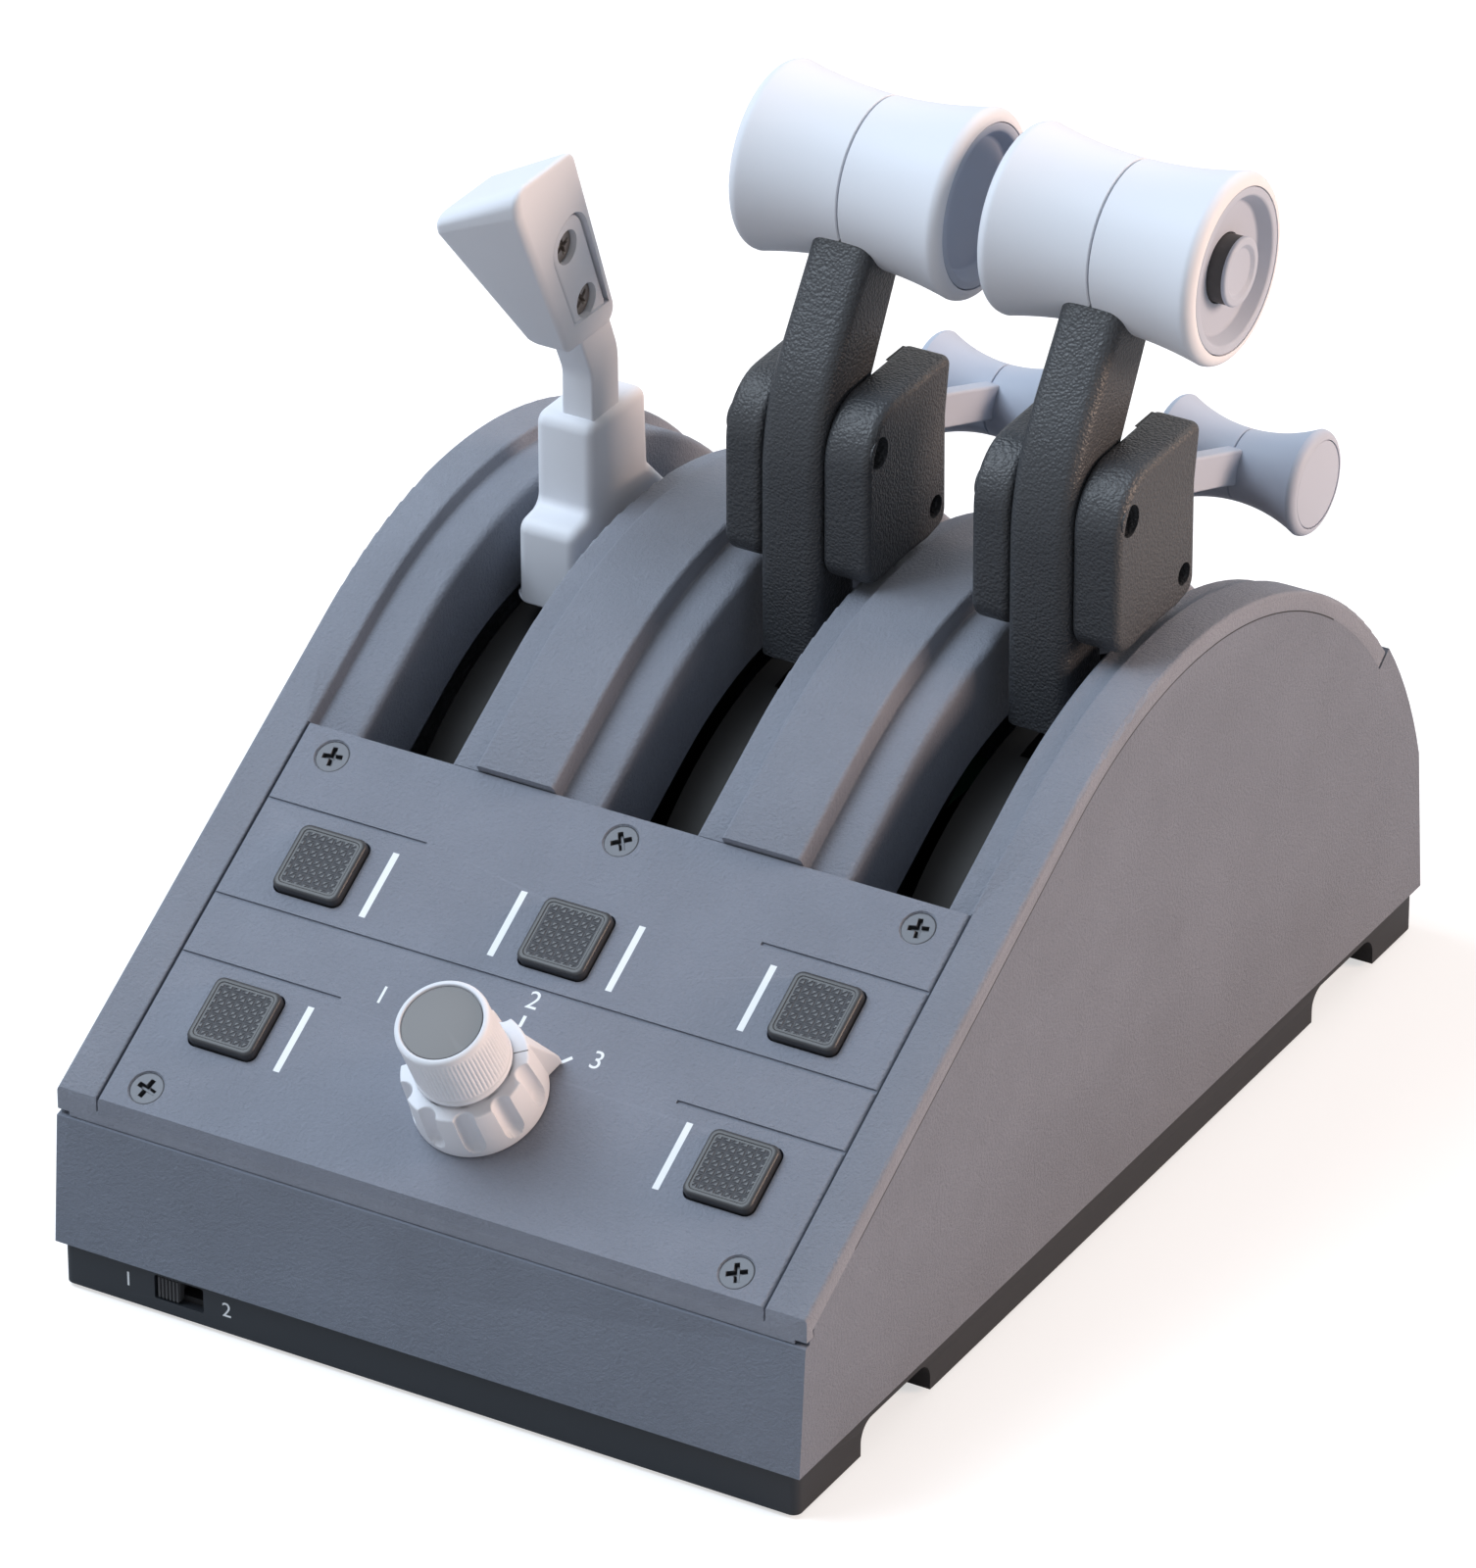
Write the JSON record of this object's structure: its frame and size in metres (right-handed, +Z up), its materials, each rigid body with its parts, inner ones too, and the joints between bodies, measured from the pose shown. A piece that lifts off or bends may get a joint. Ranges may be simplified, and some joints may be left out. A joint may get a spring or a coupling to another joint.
{
  "type": "throttle quadrant",
  "caption": "Desk-top flight throttle quadrant: sloped housing, speed brake lever, throttle levers with reverse levers, push buttons, rotary selector and slide switch.",
  "frame": {"origin": "centre of the footprint on the desk", "axes": "+X to the user's right, +Y away from the user, +Z up"},
  "size_m": [0.1844, 0.2816, 0.2295],
  "materials": {
    "bracket_black": "moulded",
    "bright_steel": "turned",
    "button_black": "embossed",
    "circuit_board": "solder mask",
    "cover_grey": "fine grain",
    "drum_black": "moulded",
    "foot_rubber": "matt",
    "grip_white": "satin",
    "housing_grey": "fine grain",
    "lever_dark": "leather grain",
    "panel_grey": "fine grain",
    "screw_black": "black oxide",
    "selector_grey": "satin",
    "selector_white": "satin",
    "steel_plate": "bare",
    "switch_black": "moulded",
    "thumb_black": "ribbed",
    "tray_black": "fine grain"
  },
  "bodies": {
    "base": {"base_tray": "tray_black", "rubber_feet": "foot_rubber", "tray_screws": "screw_black", "ballast_plate": "steel_plate", "main_housing": "housing_grey", "top_cover": "cover_grey", "control_panel": "panel_grey", "panel_screws": "screw_black", "button_board": "circuit_board", "button_switches": "switch_black", "selector_encoder": "switch_black", "main_board": "circuit_board", "usb_socket": "bright_steel", "slide_switch_body": "switch_black", "lever_axle": "bright_steel", "axle_brackets": "bracket_black", "sensor_boards": "circuit_board", "axle_clips": "bright_steel"},
    "push_1": {"button_1": "button_black"},
    "push_2": {"button_2": "button_black"},
    "push_3": {"button_3": "button_black"},
    "push_4": {"button_4": "button_black"},
    "push_5": {"button_5": "button_black"},
    "ring": {"selector_ring": "selector_white"},
    "shaft": {"selector_shaft": "bright_steel"},
    "knob": {"selector_knob": "selector_white", "selector_cap": "selector_grey"},
    "slider": {"slide_thumb": "thumb_black"},
    "speed_brake": {"speed_brake_hub": "drum_black", "speed_brake_arm": "lever_dark", "speed_brake_handle": "grip_white", "speed_brake_screws": "screw_black"},
    "throttle_left": {"throttle_left_hub": "drum_black", "throttle_left_arm": "lever_dark", "throttle_left_shell_a": "lever_dark", "throttle_left_shell_b": "lever_dark", "throttle_left_screws": "screw_black", "throttle_left_grip_a": "grip_white", "throttle_left_grip_b": "grip_white", "throttle_left_caps": "grip_white", "reverse_left_pin": "bright_steel"},
    "thumb_left": {"throttle_left_button": "thumb_black"},
    "reverse_left": {"reverse_left_bar": "lever_dark", "reverse_left_grips": "grip_white", "reverse_left_caps": "grip_white"},
    "throttle_right": {"throttle_right_hub": "drum_black", "throttle_right_arm": "lever_dark", "throttle_right_shell_a": "lever_dark", "throttle_right_shell_b": "lever_dark", "throttle_right_screws": "screw_black", "throttle_right_grip_a": "grip_white", "throttle_right_grip_b": "grip_white", "throttle_right_caps": "grip_white", "reverse_right_pin": "bright_steel"},
    "thumb_right": {"throttle_right_button": "thumb_black"},
    "reverse_right": {"reverse_right_bar": "lever_dark", "reverse_right_grips": "grip_white", "reverse_right_caps": "grip_white"}
  },
  "joints": [
    {"name": "button_1_press", "type": "slide", "parent": "base", "child": "push_1", "axis": [0, 0.5026, -0.8645], "range_m": [0, 0.0015], "stiffness_N_per_m": 1000},
    {"name": "button_2_press", "type": "slide", "parent": "base", "child": "push_2", "axis": [0, 0.5026, -0.8645], "range_m": [0, 0.0015], "stiffness_N_per_m": 1000},
    {"name": "button_3_press", "type": "slide", "parent": "base", "child": "push_3", "axis": [0, 0.5026, -0.8645], "range_m": [0, 0.0015], "stiffness_N_per_m": 1000},
    {"name": "button_4_press", "type": "slide", "parent": "base", "child": "push_4", "axis": [0, 0.5026, -0.8645], "range_m": [0, 0.0015], "stiffness_N_per_m": 1000},
    {"name": "button_5_press", "type": "slide", "parent": "base", "child": "push_5", "axis": [0, 0.5026, -0.8645], "range_m": [0, 0.0015], "stiffness_N_per_m": 1000},
    {"name": "ring_turn", "type": "hinge", "parent": "base", "child": "ring", "pos_m": [0, -0.11491, 0.06224], "axis": [0, -0.5026, 0.8645], "range_deg": [0, 90]},
    {"name": "shaft_turn", "type": "hinge", "parent": "base", "child": "shaft", "pos_m": [0, -0.11491, 0.06224], "axis": [0, -0.5026, 0.8645], "continuous": true},
    {"name": "knob_press", "type": "slide", "parent": "shaft", "child": "knob", "axis": [0, 0.5026, -0.8645], "range_m": [0, 0.0006], "stiffness_N_per_m": 3000},
    {"name": "slide_switch", "type": "slide", "parent": "base", "child": "slider", "axis": [1, 0, 0], "range_m": [0, 0.0058]},
    {"name": "speed_brake_lever", "type": "hinge", "parent": "base", "child": "speed_brake", "pos_m": [0, 0.0292, 0.0167], "axis": [1, 0, 0], "range_deg": [-30, 28]},
    {"name": "throttle_left_lever", "type": "hinge", "parent": "base", "child": "throttle_left", "pos_m": [0, 0.0292, 0.0167], "axis": [1, 0, 0], "range_deg": [-30, 28]},
    {"name": "thumb_left_press", "type": "slide", "parent": "throttle_left", "child": "thumb_left", "axis": [1, 0, 0], "range_m": [0, 0.0015], "stiffness_N_per_m": 1000},
    {"name": "reverse_left_lift", "type": "hinge", "parent": "throttle_left", "child": "reverse_left", "pos_m": [0, 0.0148, 0.1615], "axis": [1, 0, 0], "range_deg": [0, 45]},
    {"name": "throttle_right_lever", "type": "hinge", "parent": "base", "child": "throttle_right", "pos_m": [0, 0.0292, 0.0167], "axis": [1, 0, 0], "range_deg": [-30, 28]},
    {"name": "thumb_right_press", "type": "slide", "parent": "throttle_right", "child": "thumb_right", "axis": [-1, 0, 0], "range_m": [0, 0.0015], "stiffness_N_per_m": 1000},
    {"name": "reverse_right_lift", "type": "hinge", "parent": "throttle_right", "child": "reverse_right", "pos_m": [0, 0.0148, 0.1615], "axis": [1, 0, 0], "range_deg": [0, 45]}
  ]
}
